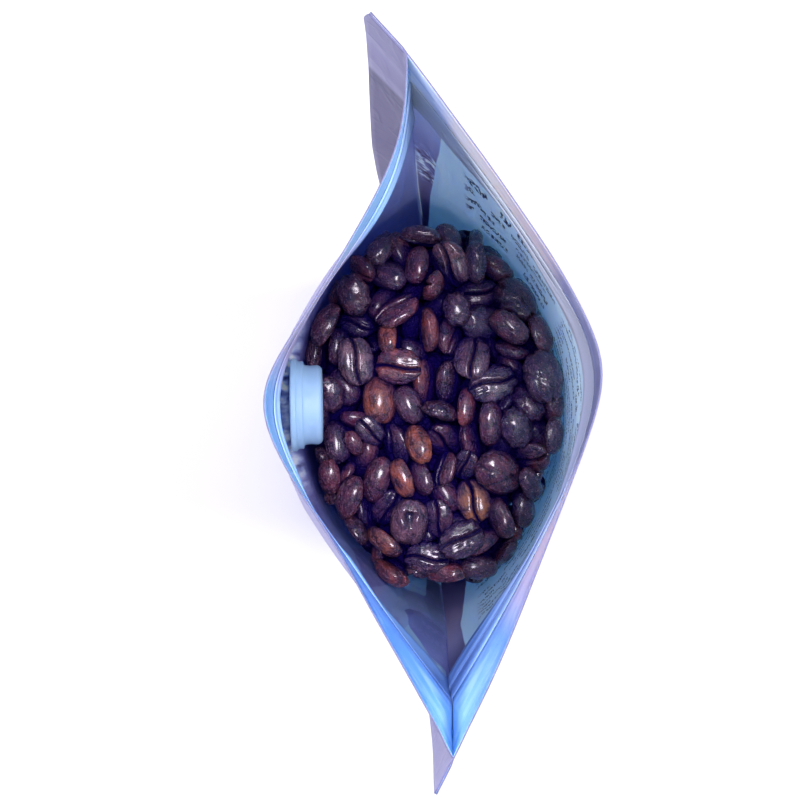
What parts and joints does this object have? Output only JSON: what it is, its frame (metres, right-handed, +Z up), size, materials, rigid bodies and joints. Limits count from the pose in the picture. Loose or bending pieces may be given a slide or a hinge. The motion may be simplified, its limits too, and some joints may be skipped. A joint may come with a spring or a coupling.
{
  "type": "coffee bag",
  "caption": "Opened stand-up coffee pouch of printed film, filled with roasted beans, with a rhombus-shaped mouth, press-to-close zip, degassing valve inside the front panel and bottom gusset.",
  "frame": {"origin": "on the table under the middle of the base, midway between the two side seals at the base", "axes": "+Z up; +X along the width of the pouch, from one side seal to the other; the front panel with the valve faces -Y and the back panel faces +Y"},
  "size_m": [0.1268, 0.0756, 0.203],
  "materials": {
    "printed_film": "satin printed laminate film, glossy on the inside",
    "zip_strip": "smooth extruded strip",
    "valve_plastic": "milky moulded plastic",
    "roasted_coffee": "dark roast with a thin oily sheen"
  },
  "bodies": {
    "root": {"pouch": "printed_film", "zip_groove": "zip_strip", "zip_tongue": "zip_strip", "degassing_valve": "valve_plastic", "coffee_beans": "roasted_coffee"}
  },
  "joints": []
}
